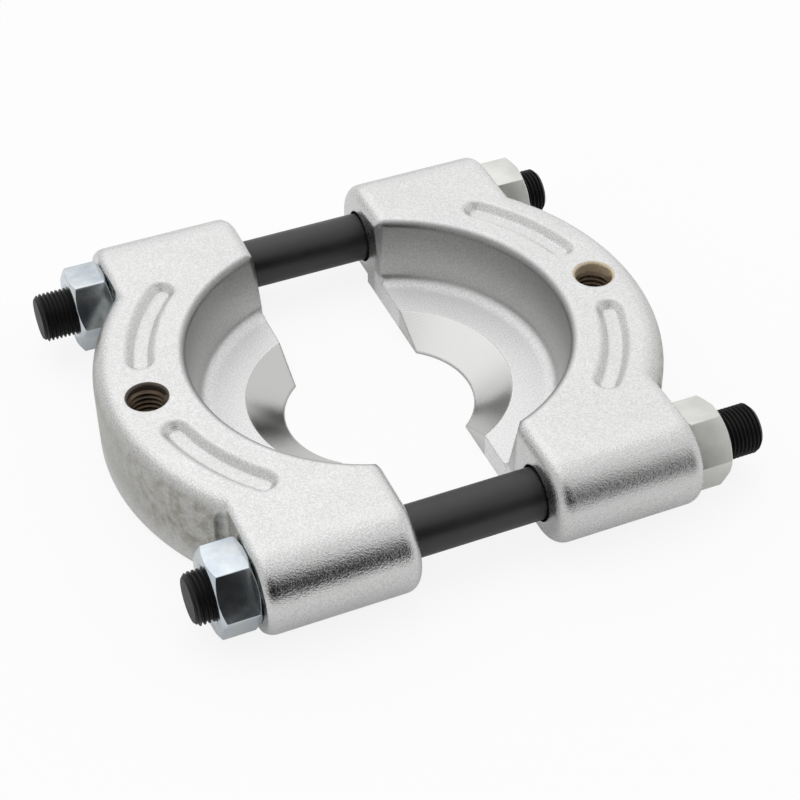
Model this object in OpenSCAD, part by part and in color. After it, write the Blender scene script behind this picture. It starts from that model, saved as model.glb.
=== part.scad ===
/* [Opening] */
// distance between the two flat mating planes
gap = 47; // [4:0.2:70]
// how far the throat sits to the right of the middle
throat_x = -1.5; // [-6:0.1:6]

/* [Studs] */
// stud diameter over the thread
stud_d = 18; // [12:0.5:24]
// stud length
stud_len = 200; // [170:1:260]
// distance between the two stud axes
stud_span = 152.4; // [140:0.2:170]
// height of the stud axes over the underside
stud_z = 16.1; // [14:0.1:20]
// how far the front stud sits to the right of the rear one
stud_stagger = 5.8; // [-8:0.1:8]
// end chamfer of the studs
stud_cham = 1.6; // [0.5:0.1:3]

/* [Plate] */
// full height of the rim and lugs
rim_h = 33.8; // [30:0.2:42]
// outer radius of the rim
rim_r = 94.4; // [88:0.2:104]
// distance from the rim axis to the mating plane
rim_back = 19.4; // [12:0.1:24]
// soft rounding of the outer top edge
rim_top_r = 8; // [3:0.5:10]
// rounding of the outer bottom edge
rim_low_r = 3; // [1:0.5:6]
// thickness of the ledge that carries the bearing
floor_h = 8.8; // [6:0.1:12]
// radius of the inner wall at the ledge
wall_low_r = 58.4; // [54:0.1:60]
// radius of the inner wall at the top
wall_top_r = 62.6; // [60.5:0.1:66]
// fillet between ledge and inner wall
wall_fillet = 5; // [2:0.5:8]
// rounding of the inner top edge
wall_edge_r = 3; // [1:0.5:5]

/* [Bevel] */
// distance from the bevel axis to the mating plane
bevel_back = 17.2; // [12:0.1:22]
// radius of the sharp edge at the underside
bevel_low_r = 27.8; // [24:0.1:34]
// radius where the bevel meets the ledge
bevel_top_r = 41.2; // [38:0.1:48]
// height of the narrow land at the sharp edge
bevel_land = 0.6; // [0.3:0.1:2]

/* [Lugs] */
// length of a lug along its stud
lug_len = 52.2; // [44:0.2:60]
// metal between a stud hole and the outer side of its lug
lug_wall = 9.6; // [7:0.2:14]
// rounding of the lug ends
lug_edge_r = 5; // [2:0.2:6]
// radius of the soft inner corners at the top
corner_r = 9; // [2:0.5:10]
// depth under the ledge where the inner corners would run sharp
corner_foot = 3; // [2:0.5:6]
// depth milled off the rounded nut ends
seat_cut = 1.4; // [0.4:0.2:3]
// where the milled nut seat stops, from the middle
seat_in = 56.6; // [52:0.2:58]
// corner radius left by the milling cutter
seat_r = 4; // [2:0.5:6]
// radial clearance of the stud holes
stud_hole_clear = 0.8; // [0.3:0.1:1.5]

/* [Puller holes] */
// distance of a puller hole from the rim axis
hole_at = 78.8; // [74:0.2:84]
// diameter over the thread in the wall
hole_d = 13.4; // [9:0.1:16]
// width of the countersunk rim over the threaded wall
hole_rim = 0.7; // [0.3:0.1:2]

/* [Grooves] */
// distance of the groove middle line from the rim axis
groove_at = 77.6; // [74:0.2:82]
// groove width at the top
groove_w = 10.4; // [8:0.2:13]
// width of the flat groove floor
groove_floor = 4.4; // [3:0.2:6]
// groove depth
groove_deep = 2.8; // [1.5:0.1:4.5]
// rounding of the groove rim
groove_rim_r = 1.6; // [0.5:0.1:2]
// angle from the puller hole to the near groove end
groove_near = 14.4; // [13.5:0.1:20]
// angle from the puller hole to the far groove end
groove_far = 42.6; // [32:0.2:46]

/* [Nuts] */
// nut width across flats
nut_af = 27; // [22:0.5:30]
// nut thickness
nut_h = 13.6; // [10:0.5:18]
// radial clearance of the nut on the stud
nut_clear = 0.06; // [0.02:0.01:0.2]
// chamfer at the mouth of the nut hole
nut_mouth = 0.9; // [0.3:0.1:1.5]
// turn of the left front nut
turn_lf = 27; // [0:1:60]
// turn of the left rear nut
turn_lr = 24; // [0:1:60]
// turn of the right front nut
turn_rf = 18; // [0:1:60]
// turn of the right rear nut
turn_rr = 31; // [0:1:60]

/* [Hidden] */
mate_x = gap / 2;
rim_x = mate_x - rim_back;
bevel_x = mate_x - bevel_back;
seat_x = mate_x + lug_len;
lug_end = seat_x + seat_cut;
stud_y = stud_span / 2;
lug_r = rim_h / 2;
bore_r = stud_d / 2 + stud_hole_clear;
lug_y = stud_y + bore_r + lug_wall - lug_r;
lug_in = seat_in - 6;
lug_soft = stud_y - 8;
hole_x = rim_x + hole_at;
draft = atan((wall_top_r - wall_low_r) / (rim_h - floor_h));
fil_r = wall_low_r + wall_fillet * tan(draft) - wall_fillet / cos(draft);
fil_z = floor_h + wall_fillet;
edge_r = wall_top_r + wall_edge_r / cos(draft) - wall_edge_r * tan(draft);
edge_z = rim_h - wall_edge_r;
corner_low_y = sqrt(wall_low_r * wall_low_r - rim_back * rim_back);
corner_top_y = sqrt(wall_top_r * wall_top_r - rim_back * rim_back);
corner_lean = atan((corner_top_y - corner_low_y) / (rim_h - floor_h));
corner_turn = acos(rim_back / wall_top_r * cos(draft)) - 4;
corner_len = (rim_h - floor_h + corner_foot) / cos(corner_lean);
corner_tip = atan(corner_r / corner_len / cos(corner_turn / 2));
corner_cone = asin(sin(corner_tip) * cos(corner_turn / 2));
groove_z = rim_h - groove_deep;
groove_top = rim_h + 0.03;
groove_slope = atan(2 * groove_deep / (groove_w - groove_floor));
groove_rim = groove_rim_r * tan(groove_slope / 2);
nut_r = nut_af / sqrt(3);
nut_cone = (nut_r - nut_af / 2 + 0.3) * tan(30);
big = 260;
$fn = 120;

// outline of the solid disc that the rim is cut from
module disc_section() {
  square([rim_r - rim_top_r, rim_h]);
  translate([0, rim_low_r])
    square([rim_r, rim_h - rim_low_r - rim_top_r]);
  square([rim_r - rim_low_r, rim_h / 2]);
  translate([rim_r - rim_top_r, rim_h - rim_top_r])
    circle(r = rim_top_r);
  translate([rim_r - rim_low_r, rim_low_r])
    circle(r = rim_low_r);
}

module right_side(x_from, y_to) {
  translate([x_from, -y_to, -1])
    cube([big, 2 * y_to, rim_h + 2]);
}

// rim and ledge before the recess is cut
module disc() {
  intersection() {
    translate([rim_x, 0, 0])
      rotate_extrude()
        disc_section();
    union() {
      right_side(mate_x, seat_in - 2);
      right_side(mate_x + lug_edge_r + 1, stud_y - 6);
    }
  }
}

// side view of a lug with its upper corners rounded
module lug_section() {
  len = lug_end - mate_x;
  translate([mate_x + lug_edge_r, -lug_r])
    square([len - 2 * lug_edge_r, 2 * lug_r]);
  translate([mate_x, -lug_r])
    square([len, 2 * lug_r - lug_edge_r]);
  for (x = [mate_x + lug_edge_r, lug_end - lug_edge_r])
    translate([x, lug_r - lug_edge_r])
      circle(r = lug_edge_r);
}

// the same with all four corners rounded
module lug_round_section() {
  intersection() {
    lug_section();
    mirror([0, 1])
      lug_section();
  }
}

module lug() {
  translate([0, lug_y, lug_r]) {
    rotate([0, 90, 0])
      rotate([0, 0, 90])
        rotate_extrude()
          intersection() {
            rotate(90)
              mirror([0, 1])
                lug_section();
            square(big);
          }
    rotate([90, 0, 0])
      linear_extrude(height = lug_y - lug_soft)
        lug_round_section();
    translate([0, lug_soft - lug_y, 0])
      rotate([90, 0, 0])
        linear_extrude(height = lug_soft - lug_in)
          lug_section();
  }
}

// space cut out for the bearing, with a drafted wall and soft edges
module recess_section() {
  polygon([[0, floor_h], [fil_r, floor_h],
           [fil_r + wall_fillet * cos(draft), fil_z - wall_fillet * sin(draft)],
           [wall_top_r, rim_h], [wall_top_r, rim_h + 2], [0, rim_h + 2]]);
  translate([fil_r, fil_z])
    circle(r = wall_fillet + 0.02);
  difference() {
    polygon([[wall_top_r - 6, edge_z + wall_edge_r * sin(draft)],
             [edge_r - wall_edge_r * cos(draft), edge_z + wall_edge_r * sin(draft)],
             [edge_r, edge_z], [edge_r, rim_h + 2], [wall_top_r - 6, rim_h + 2]]);
    translate([edge_r, edge_z])
      circle(r = wall_edge_r);
  }
}

module recess() {
  translate([rim_x, 0, 0])
    rotate_extrude()
      recess_section();
}

// waste outside a cone that rounds the corner of inner wall and mating plane
module inner_corner() {
  side = atan(tan(corner_turn / 2) / cos(corner_tip));
  reach = 2 * corner_r;
  intersection() {
    translate([mate_x, corner_low_y - corner_foot * tan(corner_lean), floor_h - corner_foot])
      rotate([-corner_lean, 0, 0])
        rotate([0, corner_tip, corner_turn / 2])
          difference() {
            linear_extrude(height = 2 * corner_len)
              polygon([[0, 0], [-reach, reach * tan(side)], [-reach, -reach * tan(side)]]);
            translate([0, 0, -1])
              cylinder(r1 = 0.03, r2 = 0.03 + (2 * corner_len + 2) * tan(corner_cone),
                       h = 2 * corner_len + 2);
          }
    translate([0, 0, floor_h])
      cube(big);
  }
}

// cone that leaves the sharp edge under the bearing
module bevel() {
  slope = (bevel_top_r - bevel_low_r) / (floor_h - bevel_land);
  translate([bevel_x, 0, bevel_land])
    cylinder(r1 = bevel_low_r, r2 = bevel_top_r + slope, h = floor_h - bevel_land + 1);
  translate([bevel_x, 0, -1])
    cylinder(r = bevel_low_r, h = bevel_land + 1.5);
}

// one side of the groove, from its middle line outward, with a soft rim
module groove_side(u_from, grow) {
  floor_u = groove_floor / 2 + grow;
  top_u = groove_w / 2 + grow;
  rim_u = top_u + groove_rim;
  rim_z = groove_top - groove_rim_r;
  wall_u = top_u - groove_rim * cos(groove_slope);
  wall_z = groove_top - groove_rim * sin(groove_slope);
  polygon([[u_from, groove_z], [floor_u, groove_z], [top_u, groove_top],
           [top_u, groove_top + 1], [u_from, groove_top + 1]]);
  difference() {
    polygon([[1, wall_z], [wall_u, wall_z], [rim_u, rim_z], [rim_u, groove_top + 1], [1, groove_top + 1]]);
    translate([rim_u, rim_z])
      circle(r = groove_rim_r);
  }
}

// the round ends are a hair larger than the bent stretch
module groove() {
  translate([rim_x, 0, 0]) {
    rotate([0, 0, groove_near])
      rotate_extrude(angle = groove_far - groove_near)
        translate([groove_at, 0]) {
          groove_side(-1, 0);
          mirror([1, 0])
            groove_side(-1, 0);
        }
    for (end = [[groove_near, 90], [groove_far, -90]])
      rotate([0, 0, end[0]])
        translate([groove_at, 0, 0])
          rotate([0, 0, end[1]])
            rotate_extrude()
              translate([0, -0.02])
                groove_side(0, 0.03);
  }
}

// flat that the cutter leaves for a nut
module nut_seat() {
  translate([0, 0, -1])
    linear_extrude(height = rim_h + 2) {
      translate([seat_x + seat_r, seat_in])
        square(big);
      translate([seat_x, seat_in + seat_r])
        square(big);
      translate([seat_x + seat_r, seat_in + seat_r])
        circle(r = seat_r);
    }
}

module stud_hole() {
  translate([mate_x - 1, stud_y, stud_z])
    rotate([0, 90, 0])
      cylinder(r = bore_r, h = lug_len + 4);
}

module puller_hole() {
  translate([hole_x, 0, -1])
    cylinder(d = hole_d, h = rim_h + 2);
  translate([hole_x, 0, rim_h - hole_rim])
    cylinder(d1 = hole_d, d2 = hole_d + 2 * hole_rim, h = hole_rim);
  translate([hole_x, 0, rim_h])
    cylinder(d = hole_d + 2 * hole_rim, h = 1);
}

module half() {
  difference() {
    union() {
      disc();
      lug();
      mirror([0, 1, 0])
        lug();
    }
    recess();
    bevel();
    puller_hole();
    for (s = [0, 1])
      mirror([0, s, 0]) {
        inner_corner();
        nut_seat();
        stud_hole();
        groove();
      }
  }
}

module stud() {
  rotate([0, 90, 0])
    rotate_extrude()
      polygon([[0, -stud_len / 2], [stud_d / 2 - stud_cham, -stud_len / 2],
               [stud_d / 2, -stud_len / 2 + stud_cham], [stud_d / 2, stud_len / 2 - stud_cham],
               [stud_d / 2 - stud_cham, stud_len / 2], [0, stud_len / 2]]);
}

// hexagon with both faces turned to a cone
module nut() {
  hole_r = stud_d / 2 + nut_clear;
  rotate([0, 90, 0])
    difference() {
      intersection() {
        cylinder(r = nut_r, h = nut_h, $fn = 6);
        rotate_extrude()
          polygon([[0, 0], [nut_af / 2 - 0.3, 0], [nut_r, nut_cone],
                   [nut_r, nut_h - nut_cone], [nut_af / 2 - 0.3, nut_h], [0, nut_h]]);
      }
      translate([0, 0, -1])
        cylinder(r = hole_r, h = nut_h + 2);
      translate([0, 0, -0.01])
        cylinder(r1 = hole_r + nut_mouth + 0.01, r2 = hole_r, h = nut_mouth + 0.01);
      translate([0, 0, nut_h - nut_mouth])
        cylinder(r1 = hole_r, r2 = hole_r + nut_mouth + 0.01, h = nut_mouth + 0.01);
    }
}

module left_half() {
  color([0.82, 0.83, 0.84])
    translate([throat_x, 0, 0])
      mirror([1, 0, 0])
        half();
}

module right_half() {
  color([0.82, 0.83, 0.84])
    translate([throat_x, 0, 0])
      half();
}

module front_stud() {
  color([0.08, 0.08, 0.085])
    translate([stud_stagger / 2, -stud_y, stud_z])
      stud();
}

module rear_stud() {
  color([0.08, 0.08, 0.085])
    translate([-stud_stagger / 2, stud_y, stud_z])
      stud();
}

module left_front_nut() {
  color([0.72, 0.76, 0.8])
    translate([throat_x - seat_x - nut_h, -stud_y, stud_z])
      rotate([turn_lf, 0, 0])
        nut();
}

module left_rear_nut() {
  color([0.72, 0.76, 0.8])
    translate([throat_x - seat_x - nut_h, stud_y, stud_z])
      rotate([turn_lr, 0, 0])
        nut();
}

module right_front_nut() {
  color([0.72, 0.76, 0.8])
    translate([throat_x + seat_x, -stud_y, stud_z])
      rotate([turn_rf, 0, 0])
        nut();
}

module right_rear_nut() {
  color([0.72, 0.76, 0.8])
    translate([throat_x + seat_x, stud_y, stud_z])
      rotate([turn_rr, 0, 0])
        nut();
}

left_half();
right_half();
front_stud();
rear_stud();
left_front_nut();
left_rear_nut();
right_front_nut();
right_rear_nut();
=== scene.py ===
import bpy
import math
from mathutils import Matrix, Vector


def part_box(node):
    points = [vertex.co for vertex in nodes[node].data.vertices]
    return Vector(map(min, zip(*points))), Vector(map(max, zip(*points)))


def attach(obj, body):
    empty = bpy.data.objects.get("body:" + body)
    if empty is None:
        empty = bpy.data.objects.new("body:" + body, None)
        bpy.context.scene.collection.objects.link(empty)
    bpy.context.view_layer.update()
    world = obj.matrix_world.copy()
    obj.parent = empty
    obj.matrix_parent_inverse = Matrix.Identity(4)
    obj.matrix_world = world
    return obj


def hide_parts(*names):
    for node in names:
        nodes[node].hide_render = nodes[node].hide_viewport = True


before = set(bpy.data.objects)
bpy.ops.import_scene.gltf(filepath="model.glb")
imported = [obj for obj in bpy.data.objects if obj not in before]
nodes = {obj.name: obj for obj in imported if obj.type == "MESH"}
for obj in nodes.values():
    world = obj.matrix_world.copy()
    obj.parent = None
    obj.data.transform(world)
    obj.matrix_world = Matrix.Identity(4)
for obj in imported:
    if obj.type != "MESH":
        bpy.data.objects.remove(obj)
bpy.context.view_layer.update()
mm = 0.001
touch = 1e-6
print("frame loaded")


# small hand tools
def clearSelection():
    if bpy.context.object and bpy.context.object.mode != "OBJECT":
        bpy.ops.object.mode_set(mode="OBJECT")
    bpy.ops.object.select_all(action="DESELECT")


def pick(obj):
    clearSelection()
    obj.select_set(True)
    bpy.context.view_layer.objects.active = obj


def editAll(obj):
    pick(obj)
    bpy.ops.object.mode_set(mode="EDIT")
    bpy.ops.mesh.select_all(action="SELECT")


def doneEditing():
    bpy.ops.object.mode_set(mode="OBJECT")


def applyModifier(obj, kind, **settings):
    pick(obj)
    modifier = obj.modifiers.new(kind.title(), kind)
    for key, value in settings.items():
        setattr(modifier, key, value)
    bpy.ops.object.modifier_apply(modifier=modifier.name)


def boolean(obj, other, operation):
    applyModifier(obj, "BOOLEAN", object=other, operation=operation, solver="EXACT")
    bpy.data.objects.remove(other)


def moveMesh(obj, offset):
    editAll(obj)
    bpy.ops.transform.translate(value=offset)
    doneEditing()


def turnMesh(obj, angle, axis):
    editAll(obj)
    bpy.ops.transform.rotate(value=angle, orient_axis=axis, center_override=(0, 0, 0))
    doneEditing()


def cylinderAlongX(name, radius, length, sides):
    clearSelection()
    bpy.ops.mesh.primitive_cylinder_add(vertices=sides, radius=radius, depth=length,
                                        rotation=(0, math.pi / 2, 0))
    obj = bpy.context.object
    obj.name = name
    bpy.ops.object.transform_apply(location=True, rotation=True, scale=True)
    return obj


# bevels the two end circles of a bar that lies along X round the origin
def chamferEnds(obj, half, size, segments):
    editAll(obj)
    bpy.ops.mesh.select_all(action="DESELECT")
    bpy.ops.mesh.select_mode(type="EDGE")
    doneEditing()
    points = obj.data.vertices
    for edge in obj.data.edges:
        first, second = [points[index].co.x for index in edge.vertices]
        edge.select = abs(abs(first) - half) < touch and abs(first - second) < touch
    bpy.ops.object.mode_set(mode="EDIT")
    bpy.ops.mesh.bevel(offset=size, segments=segments)
    doneEditing()


# one vertex is kept of a plane and pulled along the points, in the XY plane
def drawnLine(name, points, closed=False):
    clearSelection()
    bpy.ops.mesh.primitive_plane_add(size=mm)
    obj = bpy.context.object
    obj.name = name
    editAll(obj)
    bpy.ops.mesh.select_mode(type="VERT")
    bpy.ops.mesh.select_all(action="DESELECT")
    doneEditing()
    for point in obj.data.vertices[1:]:
        point.select = True
    bpy.ops.object.mode_set(mode="EDIT")
    bpy.ops.mesh.delete(type="VERT")
    bpy.ops.mesh.select_all(action="SELECT")
    doneEditing()
    start = Vector(obj.data.vertices[0].co)
    bpy.ops.object.mode_set(mode="EDIT")
    bpy.ops.transform.translate(value=Vector(points[0]) - start)
    for last, point in zip(points, points[1:]):
        step = Vector(point) - Vector(last)
        bpy.ops.mesh.extrude_vertices_move(TRANSFORM_OT_translate={"value": step})
    if closed:
        bpy.ops.mesh.select_all(action="SELECT")
        bpy.ops.mesh.edge_face_add()
        bpy.ops.mesh.delete(type="ONLY_FACE")
    doneEditing()
    return obj


def mergeDoubles(obj):
    editAll(obj)
    bpy.ops.mesh.remove_doubles(threshold=touch)
    bpy.ops.mesh.normals_make_consistent(inside=False)
    doneEditing()


def smoothByAngle(obj, degrees):
    pick(obj)
    bpy.ops.object.shade_smooth_by_angle(angle=math.radians(degrees))


def setMaterial(obj, material):
    obj.data.materials.clear()
    obj.data.materials.append(material)


# shader tools
def feed(tree, socket, value):
    if isinstance(value, bpy.types.NodeSocket):
        tree.links.new(value, socket)
    else:
        socket.default_value = value


def addNode(tree, kind, **values):
    node = tree.nodes.new(kind)
    for key, value in values.items():
        if key in node.inputs:
            feed(tree, node.inputs[key], value)
        else:
            setattr(node, key, value)
    return node


def separate(tree, vector):
    node = tree.nodes.new("ShaderNodeSeparateXYZ")
    tree.links.new(vector, node.inputs[0])
    return node.outputs


def calc(tree, operation, *values):
    node = tree.nodes.new("ShaderNodeMath")
    node.operation = operation
    for socket, value in zip(node.inputs, values):
        feed(tree, socket, value)
    return node.outputs[0]


def product(tree, *values):
    result = values[0]
    for value in values[1:]:
        result = calc(tree, "MULTIPLY", result, value)
    return result


def largest(tree, *values):
    result = values[0]
    for value in values[1:]:
        result = calc(tree, "MAXIMUM", result, value)
    return result


def flip(tree, mask):
    return calc(tree, "SUBTRACT", 1.0, mask)


# carries a value from the range start to end over to the range first to second
def ramp(tree, value, start, end, first, second, soft=False):
    node = tree.nodes.new("ShaderNodeMapRange")
    node.interpolation_type = "SMOOTHSTEP" if soft else "LINEAR"
    tree.links.new(value, node.inputs["Value"])
    for name, number in (("From Min", start), ("From Max", end), ("To Min", first), ("To Max", second)):
        node.inputs[name].default_value = number
    return node.outputs["Result"]


# 1 below the limit and 0 above it, with a soft step
def below(tree, value, limit, soft):
    return ramp(tree, value, limit - soft, limit + soft, 1, 0, soft=True)


def above(tree, value, limit, soft):
    return flip(tree, below(tree, value, limit, soft))


def blendColor(tree, mask, first, second):
    node = tree.nodes.new("ShaderNodeMix")
    node.data_type = "RGBA"
    tree.links.new(mask, node.inputs["Factor"])
    colorInputs = [s for s in node.inputs if s.type == "RGBA"]
    for socket, color in zip(colorInputs, (first, second)):
        feed(tree, socket, (*color, 1) if isinstance(color, tuple) else color)
    return [s for s in node.outputs if s.type == "RGBA"][0]


def blendValue(tree, mask, first, second):
    node = tree.nodes.new("ShaderNodeMix")
    node.data_type = "FLOAT"
    tree.links.new(mask, node.inputs[0])
    for socket, value in zip((node.inputs[2], node.inputs[3]), (first, second)):
        feed(tree, socket, value)
    return node.outputs[0]


# camera and studio
camera = {
    "place": (-0.19491, -0.4813, 0.46097),
    "heading": 22.69,
    "dip": 41.44,
    "roll": -0.54,
    "lens": 88.06,
    "sensor": 36,
    "near": 0.01,
}
studio = {
    "floorColor": (0.93, 0.93, 0.93),
    "floorRough": 0.9,
    "floorShine": 0.1,
    "floorLift": 0.86,
    "floorMirrored": 0.25,
    "floorSize": 8.0,
    "horizon": 0.86,
    "sky": 0.94,
    "skyHeight": 0.35,
    "lobeAim": (-0.0815, 0.462, 0.883),
    "lobeFull": 19.0,
    "lobeEdge": 43.0,
    "lobeLevel": 0.54,
    "leftSpan": (-0.75, -0.35),
    "leftLevel": 0.82,
    "frontSpan": (-0.95, -0.35),
    "frontLevel": 0.3,
    "darkAim": (-0.15, -0.94, 0.31),
    "darkFull": 26.0,
    "darkEdge": 38.0,
    "darkLevel": 0.06,
}


def setCamera():
    data = bpy.data.cameras.new("photoCamera")
    obj = bpy.data.objects.new("photoCamera", data)
    bpy.context.scene.collection.objects.link(obj)
    data.sensor_width = camera["sensor"]
    data.lens = camera["lens"]
    turn = Matrix.Rotation(math.radians(-camera["heading"]), 4, "Z")
    tip = Matrix.Rotation(math.radians(90 - camera["dip"]), 4, "X")
    roll = Matrix.Rotation(math.radians(camera["roll"]), 4, "Z")
    obj.matrix_world = Matrix.Translation(camera["place"]) @ turn @ tip @ roll
    data.clip_start = camera["near"]
    bpy.context.scene.camera = obj


# the floor shows as white paper and still takes the shadow
def floorPaper():
    paper = bpy.data.materials.new("floorPaper")
    paper.use_nodes = True
    tree = paper.node_tree
    shader = tree.nodes["Principled BSDF"]
    shader.inputs["Base Color"].default_value = (*studio["floorColor"], 1)
    shader.inputs["Roughness"].default_value = studio["floorRough"]
    shader.inputs["Specular IOR Level"].default_value = studio["floorShine"]
    ray = tree.nodes.new("ShaderNodeLightPath")
    mirrored = largest(tree, ray.outputs["Is Glossy Ray"], ray.outputs["Is Transmission Ray"])
    seen = product(tree, ray.outputs["Is Camera Ray"], studio["floorLift"])
    white = tree.nodes.new("ShaderNodeEmission")
    mix = tree.nodes.new("ShaderNodeMixShader")
    tree.links.new(calc(tree, "MULTIPLY_ADD", mirrored, studio["floorMirrored"], seen), mix.inputs[0])
    tree.links.new(shader.outputs[0], mix.inputs[1])
    tree.links.new(white.outputs[0], mix.inputs[2])
    tree.links.new(mix.outputs[0], tree.nodes["Material Output"].inputs["Surface"])
    return paper


# a bright tent with a soft lobe behind, dimmer on the left and in front, dark round the camera
def tentWorld():
    t = studio
    world = bpy.data.worlds.new("lightTent")
    world.use_nodes = True
    tree = world.node_tree
    way = tree.nodes.new("ShaderNodeTexCoord").outputs["Generated"]
    x, y, z = separate(tree, way)

    def spot(aim, full, edge, first, second):
        node = tree.nodes.new("ShaderNodeVectorMath")
        node.operation = "DOT_PRODUCT"
        tree.links.new(way, node.inputs[0])
        node.inputs[1].default_value = Vector(aim).normalized()
        rim = math.cos(math.radians(edge))
        core = math.cos(math.radians(full))
        return ramp(tree, node.outputs["Value"], rim, core, first, second, soft=True)

    level = ramp(tree, z, 0.0, t["skyHeight"], t["horizon"], t["sky"])
    lobe = spot(t["lobeAim"], t["lobeFull"], t["lobeEdge"], 0.0, t["lobeLevel"])
    left = ramp(tree, x, *t["leftSpan"], t["leftLevel"], 1.0, soft=True)
    front = ramp(tree, y, *t["frontSpan"], t["frontLevel"], 1.0, soft=True)
    dark = spot(t["darkAim"], t["darkFull"], t["darkEdge"], 1.0, t["darkLevel"])
    level = product(tree, calc(tree, "ADD", level, lobe), left, front, dark)
    tree.links.new(level, tree.nodes["Background"].inputs["Strength"])
    tree.nodes["Background"].inputs["Color"].default_value = (1, 1, 1, 1)
    return world


def setStudio():
    clearSelection()
    bpy.ops.mesh.primitive_plane_add(size=studio["floorSize"])
    floor = bpy.context.object
    floor.name = "studioFloor"
    floor.data.materials.append(floorPaper())
    bpy.context.scene.world = tentWorld()


setCamera()
setStudio()
bpy.context.scene.view_settings.view_transform = "Standard"
print("camera and studio set")


# blasted grain and slow unevenness, shared by all the metals
def grainGroup():
    tree = bpy.data.node_groups.new("metalGrain", "ShaderNodeTree")
    face = tree.interface
    face.new_socket("Vector", in_out="INPUT", socket_type="NodeSocketVector")
    face.new_socket("Grains Per Metre", in_out="INPUT", socket_type="NodeSocketFloat")
    face.new_socket("Patches Per Metre", in_out="INPUT", socket_type="NodeSocketFloat")
    for name in ("Grain", "Patch"):
        face.new_socket(name, in_out="OUTPUT", socket_type="NodeSocketFloat")
    entry = tree.nodes.new("NodeGroupInput")
    leave = tree.nodes.new("NodeGroupOutput")
    fine = addNode(tree, "ShaderNodeTexNoise", Vector=entry.outputs["Vector"],
                   Scale=entry.outputs["Grains Per Metre"], Detail=2.0, Roughness=0.6)
    slow = addNode(tree, "ShaderNodeTexNoise", Vector=entry.outputs["Vector"],
                   Scale=entry.outputs["Patches Per Metre"], Detail=3.0, Roughness=0.55)
    tree.links.new(fine.outputs[0], leave.inputs["Grain"])
    tree.links.new(slow.outputs[0], leave.inputs["Patch"])
    return tree


metalGrain = grainGroup()


def newMetal(name):
    material = bpy.data.materials.new(name)
    material.use_nodes = True
    tree = material.node_tree
    shader = tree.nodes["Principled BSDF"]
    shader.inputs["Metallic"].default_value = 1.0
    where = tree.nodes.new("ShaderNodeTexCoord")
    return material, tree, shader, where.outputs["Object"]


def addGrain(tree, spot, grains, patches):
    node = tree.nodes.new("ShaderNodeGroup")
    node.node_tree = metalGrain
    tree.links.new(spot, node.inputs["Vector"])
    node.inputs["Grains Per Metre"].default_value = grains
    node.inputs["Patches Per Metre"].default_value = patches
    return node.outputs["Grain"], node.outputs["Patch"]


def addBump(tree, shader, height, strength, distance, under=None):
    node = addNode(tree, "ShaderNodeBump", Height=height, Strength=strength, Distance=distance)
    if under:
        tree.links.new(under, node.inputs["Normal"])
    tree.links.new(node.outputs["Normal"], shader.inputs["Normal"])
    return node.outputs["Normal"]


# places and zones are in millimetres, and a zone has its limit and half the width of its soft step
casting = {
    "throat": -1.5,
    "rimAxis": 4.1,
    "bevelAxis": 6.3,
    "holeAxis": 82.9,
    "studOut": 76.2,
    "studHeight": 16.1,
    "rightFrom": (0.0, 1.0),
    "rimFrom": (91.4, 2.5),
    "rimHigh": (31.0, 2.6),
    "rimSide": (60.0, 3.0),
    "ledgeHigh": (10.6, 1.5),
    "wallReach": (64.0, 1.2),
    "bevelReach": (41.35, 0.1),
    "bevelHigh": (8.74, 0.03),
    "grooveIn": (70.5, 0.6),
    "grooveOut": (84.7, 0.6),
    "grooveSide": (60.0, 2.0),
    "grooveLow": (30.6, 0.3),
    "grooveFade": (31.1, 31.5, 1.0, 0.4),
    "topHigh": (32.8, 0.8),
    "mateReach": (23.54, 0.03),
    "holeReach": (7.42, 0.05),
    "boreReach": (9.83, 0.02),
    "grain": (1700.0, 55.0),
    "rough": (600.0, 240.0),
    "fleck": (0.36, 0.64, 0.87, 1.11),
    "silver": (0.66, 0.662, 0.657),
    "silverDull": (0.585, 0.588, 0.582),
    # the tops get a lighter tone than the sides: painted light where the light falls from above
    "topLitSilver": (0.78, 0.782, 0.776),
    "topLitDull": (0.7, 0.703, 0.696),
    # painted shade on the inner walls: darker than the silver, and darker still towards their top
    "innerShadeGrey": (0.5, 0.502, 0.495),
    "innerTopShade": (0.3, 0.302, 0.297),
    "innerShadeHigh": (22.0, 10.0),
    # the ledge is machined; its near-white tone is painted sheen
    "ledgeSheen": (0.9, 0.905, 0.9),
    # the outer wall: its warm grey, darker than the silver, is painted shade over the forging's rougher
    # skin, lighter again towards the foot; the brown blotches are forging stains
    "wallShadeGrey": (0.47, 0.468, 0.45),
    "wallBrown": (0.3, 0.285, 0.245),
    "stainFrom": (0.5, 0.14),
    "stainSide": (8.0, 46.0, 0.25, 0.85),
    "wallFoot": (0.64, 0.64, 0.63),
    "footHigh": (8.0, 7.0),
    "turned": (0.58, 0.58, 0.57),
    # hole mouths: painted shade in the left one, a brass tint brightened as painted light in the right
    # one
    "holeShadeDark": (0.1, 0.082, 0.064),
    "holeBrassLit": (0.78, 0.66, 0.48),
    # painted shade: the stud bores are dark where the gap round the stud is in shade
    "boreShadeDark": (0.05, 0.05, 0.05),
    "satin": (0.35, 0.65, 0.14, 0.27),
    "rightDull": 0.08,
    "topGloss": 0.28,
    "outerGloss": 0.42,
    "innerGloss": 0.34,
    "ledgeGloss": 0.5,
    "bevelGloss": 0.16,
    "holeGloss": 0.4,
    "topChalk": 0.58,
    "ledgeChalk": 0.72,
    "holeChalk": 0.75,
    "mateCut": 0.4,
    "grainCut": -0.9,
    "waveCut": -0.85,
    "latheRings": 14.0,
    "latheDepth": 0.03,
    "waveBump": (0.5, 0.4 * mm),
    "reliefBump": (0.6, 0.2 * mm),
    "softEdge": 1.2 * mm,
    "softSamples": 6,
}


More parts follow.
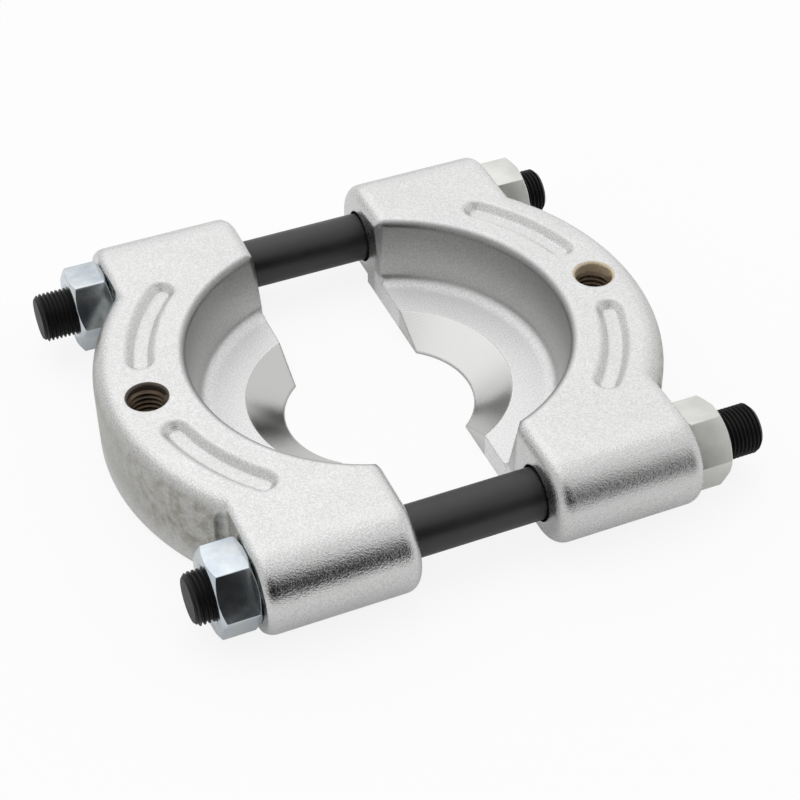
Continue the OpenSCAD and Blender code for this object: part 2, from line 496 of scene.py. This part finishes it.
def castingMaterial():
    c = casting
    material, tree, shader, spot = newMetal("blastedSilver")

    def radiusFrom(a, b):
        return calc(tree, "SQRT", calc(tree, "ADD", product(tree, a, a), product(tree, b, b)))

    # both halves are folded onto one side, in millimetres
    x, y, z = separate(tree, spot)
    east = calc(tree, "MULTIPLY_ADD", x, 1 / mm, -c["throat"])
    across = calc(tree, "ABSOLUTE", east)
    along = product(tree, y, 1 / mm)
    height = product(tree, z, 1 / mm)
    side = calc(tree, "ABSOLUTE", along)
    rimR = radiusFrom(calc(tree, "SUBTRACT", across, c["rimAxis"]), along)
    bevelR = radiusFrom(calc(tree, "SUBTRACT", across, c["bevelAxis"]), along)
    holeR = radiusFrom(calc(tree, "SUBTRACT", across, c["holeAxis"]), along)
    boreR = radiusFrom(calc(tree, "SUBTRACT", side, c["studOut"]),
                       calc(tree, "SUBTRACT", height, c["studHeight"]))
    # where on the casting a point lies
    onRight = above(tree, east, *c["rightFrom"])
    outerWall = product(tree, above(tree, rimR, *c["rimFrom"]), below(tree, height, *c["rimHigh"]),
                        below(tree, side, *c["rimSide"]))
    inside = below(tree, rimR, *c["wallReach"])
    overLedge = above(tree, height, *c["ledgeHigh"])
    innerWall = product(tree, inside, overLedge)
    bevel = product(tree, below(tree, bevelR, *c["bevelReach"]), below(tree, height, *c["bevelHigh"]))
    ledge = product(tree, inside, flip(tree, overLedge), flip(tree, bevel))
    grooveBand = product(tree, above(tree, rimR, *c["grooveIn"]), below(tree, rimR, *c["grooveOut"]),
                         below(tree, side, *c["grooveSide"]))
    groove = product(tree, grooveBand, above(tree, height, *c["grooveLow"]),
                     ramp(tree, height, *c["grooveFade"]))
    topZone = largest(tree, above(tree, height, *c["topHigh"]), groove)
    matePlane = below(tree, across, *c["mateReach"])
    hole = below(tree, holeR, *c["holeReach"])
    bore = below(tree, boreR, *c["boreReach"])
    grain, patch = addGrain(tree, spot, *c["grain"])
    roughGrain, roughPatch = addGrain(tree, spot, *c["rough"])
    # colour
    tone = blendColor(tree, patch, c["silverDull"], c["silver"])
    # painted light: the tops are a lighter copy of the silver
    topLitTone = blendColor(tree, patch, c["topLitDull"], c["topLitSilver"])
    stain = product(tree, above(tree, roughPatch, *c["stainFrom"]),
                    ramp(tree, side, *c["stainSide"], soft=True))
    # outer wall: brown forging stains on a grey that is painted shade, lighter towards the foot
    wallStainShade = blendColor(tree, stain, c["wallShadeGrey"], c["wallBrown"])
    wallStainShade = blendColor(tree, below(tree, height, *c["footHigh"]), wallStainShade, c["wallFoot"])
    # painted shade: the inner wall darkens towards its top
    insideShading = blendColor(tree, above(tree, height, *c["innerShadeHigh"]), c["innerShadeGrey"], c["innerTopShade"])
    # painted shade in the left hole mouth, painted light on the brass tint in the right one
    holeLightShade = blendColor(tree, onRight, c["holeShadeDark"], c["holeBrassLit"])
    # the zone tones carry painted light and shade: lighter tops, darker inner and outer walls, a
    # near-white ledge, lit and shaded hole mouths, dark bores
    tones = ((product(tree, topZone, topZone), topLitTone), (outerWall, wallStainShade), (innerWall, insideShading),
             (ledge, c["ledgeSheen"]), (bevel, c["turned"]), (hole, holeLightShade), (bore, c["boreShadeDark"]))
    for mask, color in tones:
        tone = blendColor(tree, mask, tone, color)
    fleck = blendValue(tree, bevel, ramp(tree, grain, *c["fleck"]), 1.0)
    flecked = addNode(tree, "ShaderNodeVectorMath", operation="SCALE", Scale=fleck)
    tree.links.new(tone, flecked.inputs[0])
    tree.links.new(flecked.outputs[0], shader.inputs["Base Color"])
    # gloss, and a chalky share on the tops, on the ledge and in the hole mouths, so that their painted
    # light and shade show as diffuse colour
    satin = calc(tree, "MULTIPLY_ADD", onRight, c["rightDull"], ramp(tree, grain, *c["satin"]))
    glosses = ((topZone, c["topGloss"]), (outerWall, c["outerGloss"]), (innerWall, c["innerGloss"]),
               (ledge, c["ledgeGloss"]), (bevel, c["bevelGloss"]), (hole, c["holeGloss"]))
    for mask, value in glosses:
        satin = blendValue(tree, mask, satin, value)
    tree.links.new(satin, shader.inputs["Roughness"])
    chalk = largest(tree, product(tree, ledge, c["ledgeChalk"]), product(tree, hole, c["holeChalk"]),
                    product(tree, topZone, c["topChalk"]))
    tree.links.new(flip(tree, chalk), shader.inputs["Metallic"])
    # relief, pressed flat where a cutter has been
    cut = largest(tree, bevel, product(tree, matePlane, c["mateCut"]), hole)
    blasted = product(tree, grain, calc(tree, "MULTIPLY_ADD", cut, c["grainCut"], 1.0))
    rings = calc(tree, "SINE", product(tree, bevelR, c["latheRings"]))
    lathe = product(tree, rings, bevel, c["latheDepth"])
    relief = calc(tree, "ADD", blasted, lathe)
    relief = calc(tree, "ADD", relief, product(tree, roughGrain, outerWall))
    waves = product(tree, patch, calc(tree, "MULTIPLY_ADD", cut, c["waveCut"], 1.0))
    soft = addNode(tree, "ShaderNodeBevel", samples=c["softSamples"], Radius=c["softEdge"])
    under = addBump(tree, shader, waves, *c["waveBump"], soft.outputs["Normal"])
    addBump(tree, shader, relief, *c["reliefBump"], under)
    return material


zinc = {
    "bright": (0.65, 0.685, 0.695),
    # the blue is a zinc tint and a painted reflection of something blue
    "blueTintReflection": (0.5, 0.56, 0.62),
    "dull": (0.73, 0.735, 0.7),
    "dullDark": (0.64, 0.645, 0.61),
    "dullFrom": (0.0, 5 * mm),
    "dullChalk": 0.42,
    "dullRough": 0.1,
    "blotch": (0.35, 0.65, 0.0, 1.0),
    "glossSpread": 0.16,
    "gloss": 0.13,
    "grain": (900.0, 120.0),
    "waveBump": (0.3, 0.3 * mm),
    "grainBump": (0.14, 0.1 * mm),
}


# the two nuts on the right are duller, lighter and less metallic
def zincMaterial():
    material, tree, shader, spot = newMetal("brightZinc")
    grain, patch = addGrain(tree, spot, *zinc["grain"])
    rightNuts = above(tree, separate(tree, spot)["X"], *zinc["dullFrom"])
    blotch = ramp(tree, patch, *zinc["blotch"])
    # the blue patches are a zinc tint and a painted reflection of something blue
    tone = blendColor(tree, blotch, zinc["blueTintReflection"], zinc["bright"])
    dull = blendColor(tree, blotch, zinc["dullDark"], zinc["dull"])
    tree.links.new(blendColor(tree, rightNuts, tone, dull), shader.inputs["Base Color"])
    gloss = calc(tree, "MULTIPLY_ADD", patch, zinc["glossSpread"], zinc["gloss"])
    gloss = calc(tree, "MULTIPLY_ADD", rightNuts, zinc["dullRough"], gloss)
    tree.links.new(gloss, shader.inputs["Roughness"])
    metallic = calc(tree, "MULTIPLY_ADD", rightNuts, -zinc["dullChalk"], 1.0)
    tree.links.new(metallic, shader.inputs["Metallic"])
    under = addBump(tree, shader, patch, *zinc["waveBump"])
    addBump(tree, shader, grain, *zinc["grainBump"], under)
    return material


blackened = {
    "dark": (0.004, 0.004, 0.004),
    "light": (0.011, 0.01, 0.01),
    "grain": (1100.0, 140.0),
    "glossSpread": 0.2,
    "grainBump": (0.25, 0.1 * mm),
    "metallic": 0.0,
    "shankShine": 0.65,
    "shankGloss": 0.31,
    "threadShine": 0.28,
    "threadGloss": 0.4,
}
# the puller-hole thread: a brown tone darkened as painted shade of the hole, its lighter patches
# painted glints
holeThreadShade = {
    "dark": (0.02, 0.014, 0.01),
    "light": (0.18, 0.135, 0.095),
    "grain": (1000.0, 260.0),
    "glossSpread": 0.2,
    "grainBump": (0.2, 0.1 * mm),
    "metallic": 1.0,
    "shine": 0.5,
    "gloss": 0.25,
}


def darkMaterial(name, look, shine, gloss):
    material, tree, shader, spot = newMetal(name)
    shader.inputs["Metallic"].default_value = look["metallic"]
    shader.inputs["Specular IOR Level"].default_value = shine
    grain, patch = addGrain(tree, spot, *look["grain"])
    tree.links.new(blendColor(tree, patch, look["dark"], look["light"]), shader.inputs["Base Color"])
    roughness = calc(tree, "MULTIPLY_ADD", patch, look["glossSpread"], gloss)
    tree.links.new(roughness, shader.inputs["Roughness"])
    addBump(tree, shader, grain, *look["grainBump"])
    return material


blastedSilver = castingMaterial()
brightZinc = zincMaterial()
blackOxide = darkMaterial("blackOxide", blackened, blackened["shankShine"], blackened["shankGloss"])
blackThread = darkMaterial("blackThread", blackened, blackened["threadShine"], blackened["threadGloss"])
shadedHoleThread = darkMaterial("shadedHoleThread", holeThreadShade, holeThreadShade["shine"], holeThreadShade["gloss"])
for name in ("left_half", "right_half"):
    nodes[name].material_slots[0].material = blastedSilver
print("materials made")


# studs: plain shank with a thread cut on both ends, the thread's profile in shares of its pitch
studs = {
    "radius": 8.98 * mm,
    "length": 200 * mm,
    "sides": 96,
    "shank": 96 * mm,
    "shankChamfer": 0.9 * mm,
    "crest": 8.72 * mm,
    "root": 7.8 * mm,
    "pitch": 1.5 * mm,
    "rootEnd": 0.25,
    "crestStart": 0.56,
    "crestEnd": 0.69,
    "steps": 48,
    "overlap": 4 * mm,
    "firstTurns": 1.3,
    "spareTurns": 3,
    "tipRadius": 7.3 * mm,
    "blankGrow": 1.4 * mm,
    "smooth": 32,
}


def threadedEnd():
    s = studs
    pitch = s["pitch"]
    profile = [(0, s["root"], 0), (pitch * s["rootEnd"], s["root"], 0),
               (pitch * s["crestStart"], s["crest"], 0), (pitch * s["crestEnd"], s["crest"], 0),
               (pitch, s["root"], 0)]
    thread = drawnLine("studThread", profile)
    reach = (s["length"] - s["shank"]) / 2 + s["overlap"]
    turns = int(reach / pitch) + s["spareTurns"]
    applyModifier(thread, "SCREW", axis="X", screw_offset=pitch, iterations=turns, steps=s["steps"],
                  render_steps=s["steps"], use_smooth_shade=True)
    mergeDoubles(thread)
    start = pitch * s["firstTurns"]
    for place, clear in ((start, "clear_inner"), (start + reach, "clear_outer")):
        editAll(thread)
        bpy.ops.mesh.bisect(plane_co=(place, 0, 0), plane_no=(1, 0, 0), use_fill=True, **{clear: True})
        doneEditing()
    mergeDoubles(thread)
    moveMesh(thread, (s["shank"] / 2 - s["overlap"] - start, 0, 0))
    return thread


def studMesh():
    s = studs
    shank = cylinderAlongX("studShank", s["radius"], s["shank"], s["sides"])
    chamferEnds(shank, s["shank"] / 2, s["shankChamfer"], segments=2)
    boolean(shank, threadedEnd(), "UNION")
    thread = threadedEnd()
    turnMesh(thread, math.pi, "Z")
    boolean(shank, thread, "UNION")
    # a larger blank with tapered ends trims the thread to length and forms its tips
    blankRadius = s["radius"] + s["blankGrow"]
    blank = cylinderAlongX("studBlank", blankRadius, s["length"], s["sides"])
    chamferEnds(blank, s["length"] / 2, blankRadius - s["tipRadius"], segments=1)
    boolean(shank, blank, "INTERSECT")
    mergeDoubles(shank)
    smoothByAngle(shank, s["smooth"])
    setMaterial(shank, blackOxide)
    shank.data.materials.append(blackThread)
    for face in shank.data.polygons:
        face.material_index = int(abs(face.center.x) > s["shank"] / 2)
    return shank


# carries a stud from where it stands to its node's place, which is returned
def placeStud(stud, name, start):
    low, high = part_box(name)
    middle = (low + high) / 2
    moveMesh(stud, middle - start)
    stud.name = name.replace("_stud", "ThreadedStud")
    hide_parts(name)
    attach(stud, name)
    return middle


# the rear stud is a copy of the placed front one
frontStud = studMesh()
frontPlace = placeStud(frontStud, "front_stud", Vector((0, 0, 0)))
rearStud = frontStud.copy()
rearStud.data = frontStud.data.copy()
bpy.context.scene.collection.objects.link(rearStud)
placeStud(rearStud, "rear_stud", frontPlace)
print("studs threaded")


# nuts: the turned hexagon with its edges eased
nuts = {
    "ease": 0.28 * mm,
    "easeSteps": 3,
    "weld": 0.002 * mm,
    "flatAngle": 1.0,
    "edgeAngle": 24,
    "smooth": 30,
}


def easedNut(name):
    clearSelection()
    obj = nodes[name].copy()
    obj.data = nodes[name].data.copy()
    bpy.context.scene.collection.objects.link(obj)
    obj.name = name + "_eased"
    obj.parent = None
    for key in list(obj.keys()):
        del obj[key]
    editAll(obj)
    bpy.ops.mesh.remove_doubles(threshold=nuts["weld"])
    bpy.ops.mesh.dissolve_limited(angle_limit=math.radians(nuts["flatAngle"]))
    doneEditing()
    applyModifier(obj, "BEVEL", width=nuts["ease"], segments=nuts["easeSteps"], limit_method="ANGLE",
                  angle_limit=math.radians(nuts["edgeAngle"]), use_clamp_overlap=False)
    smoothByAngle(obj, nuts["smooth"])
    setMaterial(obj, brightZinc)
    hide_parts(name)
    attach(obj, name)


for name in [n for n in nodes if n.endswith("_nut")]:
    easedNut(name)
print("nuts eased")


# thread turns inside the puller holes
pullerThread = {
    "wall": 6.85 * mm,
    "crest": 5.75 * mm,
    "pitch": 2.0 * mm,
    "halfFoot": 0.92 * mm,
    "halfCrest": 0.14 * mm,
    "low": 1.2 * mm,
    "leftHigh": 32.6 * mm,
    "rightHigh": 31.2 * mm,
    "steps": 48,
    "smooth": 30,
}


def holeThread(body, sign, high):
    p = pullerThread
    profile = [(p["wall"], -p["halfFoot"], 0), (p["crest"], -p["halfCrest"], 0),
               (p["crest"], p["halfCrest"], 0), (p["wall"], p["halfFoot"], 0)]
    coil = drawnLine(body + "_thread", profile, closed=True)
    turns = int((high - p["low"] - 2 * p["halfFoot"]) / p["pitch"])
    applyModifier(coil, "SCREW", axis="Y", screw_offset=p["pitch"], iterations=turns, steps=p["steps"],
                  render_steps=p["steps"], use_smooth_shade=True)
    mergeDoubles(coil)
    # the two open ends are closed before the coil is stood upright
    editAll(coil)
    bpy.ops.mesh.select_all(action="DESELECT")
    bpy.ops.mesh.select_non_manifold()
    bpy.ops.mesh.edge_face_add()
    bpy.ops.mesh.select_all(action="SELECT")
    bpy.ops.mesh.normals_make_consistent(inside=False)
    doneEditing()
    turnMesh(coil, -math.pi / 2, "X")
    highest = max(v.co.z for v in coil.data.vertices)
    place = (casting["throat"] + sign * casting["holeAxis"]) * mm
    moveMesh(coil, (place, 0, high - highest))
    smoothByAngle(coil, p["smooth"])
    setMaterial(coil, shadedHoleThread)
    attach(coil, body)


holeThread("left_half", -1, pullerThread["leftHigh"])
holeThread("right_half", 1, pullerThread["rightHigh"])
print("puller holes threaded")
